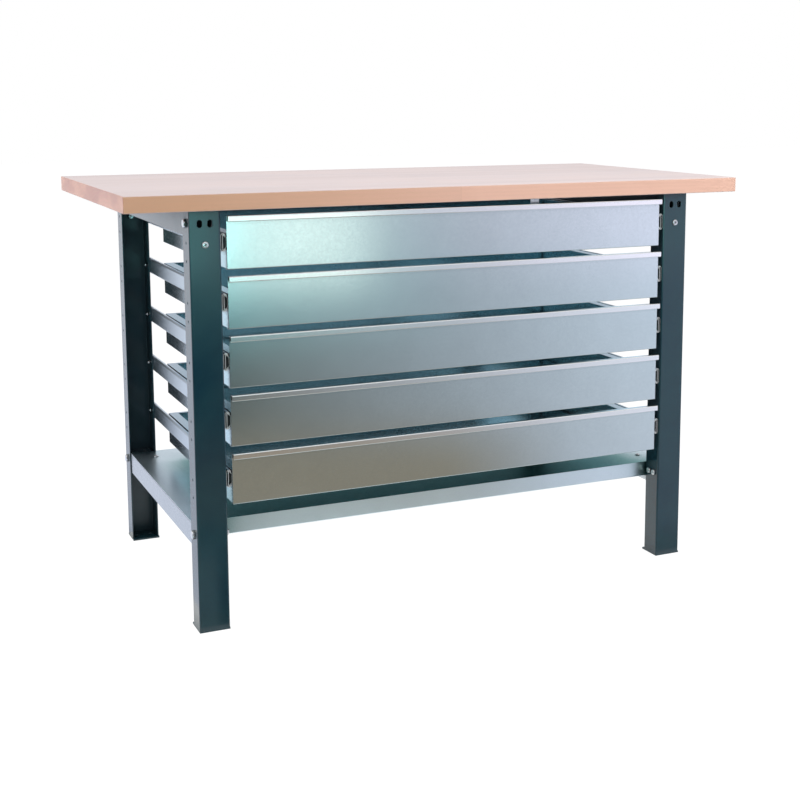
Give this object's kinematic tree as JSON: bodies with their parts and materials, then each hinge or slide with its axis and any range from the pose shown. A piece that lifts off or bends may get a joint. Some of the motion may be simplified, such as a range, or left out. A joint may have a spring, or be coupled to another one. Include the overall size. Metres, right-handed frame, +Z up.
{
  "type": "jewelers bench",
  "caption": "Workbench with a beech top on folded steel channel legs, a galvanised shelf and a stack of wide shallow drawers on full-extension slides.",
  "frame": {"origin": "on the floor, under the middle of the worktop", "axes": "+X to the right along the bench, +Y from the drawer fronts to the back, +Z up"},
  "size_m": [1.5, 0.75, 0.945],
  "materials": {
    "beech": "oiled beech board, pale sanded face",
    "green_paint": "glossy dark petrol green stove enamel",
    "galvanised_steel": "bright galvanised sheet with faint spangle",
    "zinc_fasteners": "bright zinc plating"
  },
  "bodies": {
    "bench": {"worktop": "beech", "leg_front_left": "green_paint", "leg_front_right": "green_paint", "leg_rear_left": "green_paint", "leg_rear_right": "green_paint", "foot_plates": "green_paint", "top_stretcher_left": "green_paint", "top_stretcher_right": "green_paint", "bottom_stretcher_left": "galvanised_steel", "bottom_stretcher_right": "galvanised_steel", "shelf": "galvanised_steel", "slide_1_leg_member_left": "galvanised_steel", "slide_1_leg_member_right": "galvanised_steel", "slide_2_leg_member_left": "galvanised_steel", "slide_2_leg_member_right": "galvanised_steel", "slide_3_leg_member_left": "galvanised_steel", "slide_3_leg_member_right": "galvanised_steel", "slide_4_leg_member_left": "galvanised_steel", "slide_4_leg_member_right": "galvanised_steel", "slide_5_leg_member_left": "galvanised_steel", "slide_5_leg_member_right": "galvanised_steel", "frame_bolts": "zinc_fasteners", "frame_nuts": "zinc_fasteners", "flange_bolts": "zinc_fasteners", "web_screws": "zinc_fasteners", "flange_nuts": "zinc_fasteners", "rail_screws": "zinc_fasteners", "shelf_screws": "zinc_fasteners", "worktop_screws": "zinc_fasteners"},
    "drawer_1": {"drawer_1_tray": "galvanised_steel", "drawer_1_front": "galvanised_steel", "slide_1_tray_member_left": "galvanised_steel", "slide_1_tray_member_right": "galvanised_steel", "drawer_1_rivets": "zinc_fasteners"},
    "slide_middle_1": {"slide_1_middle_members": "galvanised_steel"},
    "drawer_2": {"drawer_2_tray": "galvanised_steel", "drawer_2_front": "galvanised_steel", "slide_2_tray_member_left": "galvanised_steel", "slide_2_tray_member_right": "galvanised_steel", "drawer_2_rivets": "zinc_fasteners"},
    "slide_middle_2": {"slide_2_middle_members": "galvanised_steel"},
    "drawer_3": {"drawer_3_tray": "galvanised_steel", "drawer_3_front": "galvanised_steel", "slide_3_tray_member_left": "galvanised_steel", "slide_3_tray_member_right": "galvanised_steel", "drawer_3_rivets": "zinc_fasteners"},
    "slide_middle_3": {"slide_3_middle_members": "galvanised_steel"},
    "drawer_4": {"drawer_4_tray": "galvanised_steel", "drawer_4_front": "galvanised_steel", "slide_4_tray_member_left": "galvanised_steel", "slide_4_tray_member_right": "galvanised_steel", "drawer_4_rivets": "zinc_fasteners"},
    "slide_middle_4": {"slide_4_middle_members": "galvanised_steel"},
    "drawer_5": {"drawer_5_tray": "galvanised_steel", "drawer_5_front": "galvanised_steel", "slide_5_tray_member_left": "galvanised_steel", "slide_5_tray_member_right": "galvanised_steel", "drawer_5_rivets": "zinc_fasteners"},
    "slide_middle_5": {"slide_5_middle_members": "galvanised_steel"}
  },
  "joints": [
    {"name": "drawer_1_slide", "type": "slide", "parent": "bench", "child": "drawer_1", "axis": [0, -1, 0], "range_m": [0, 0.56]},
    {"name": "middle_1_slide", "type": "slide", "parent": "bench", "child": "slide_middle_1", "axis": [0, -1, 0], "range_m": [0, 0.28]},
    {"name": "drawer_2_slide", "type": "slide", "parent": "bench", "child": "drawer_2", "axis": [0, -1, 0], "range_m": [0, 0.56]},
    {"name": "middle_2_slide", "type": "slide", "parent": "bench", "child": "slide_middle_2", "axis": [0, -1, 0], "range_m": [0, 0.28]},
    {"name": "drawer_3_slide", "type": "slide", "parent": "bench", "child": "drawer_3", "axis": [0, -1, 0], "range_m": [0, 0.56]},
    {"name": "middle_3_slide", "type": "slide", "parent": "bench", "child": "slide_middle_3", "axis": [0, -1, 0], "range_m": [0, 0.28]},
    {"name": "drawer_4_slide", "type": "slide", "parent": "bench", "child": "drawer_4", "axis": [0, -1, 0], "range_m": [0, 0.56]},
    {"name": "middle_4_slide", "type": "slide", "parent": "bench", "child": "slide_middle_4", "axis": [0, -1, 0], "range_m": [0, 0.28]},
    {"name": "drawer_5_slide", "type": "slide", "parent": "bench", "child": "drawer_5", "axis": [0, -1, 0], "range_m": [0, 0.56]},
    {"name": "middle_5_slide", "type": "slide", "parent": "bench", "child": "slide_middle_5", "axis": [0, -1, 0], "range_m": [0, 0.28]}
  ],
  "couplings": [
    {"joint": "middle_1_slide", "follows": "drawer_1_slide", "ratio": 0.5},
    {"joint": "middle_2_slide", "follows": "drawer_2_slide", "ratio": 0.5},
    {"joint": "middle_3_slide", "follows": "drawer_3_slide", "ratio": 0.5},
    {"joint": "middle_4_slide", "follows": "drawer_4_slide", "ratio": 0.5},
    {"joint": "middle_5_slide", "follows": "drawer_5_slide", "ratio": 0.5}
  ]
}
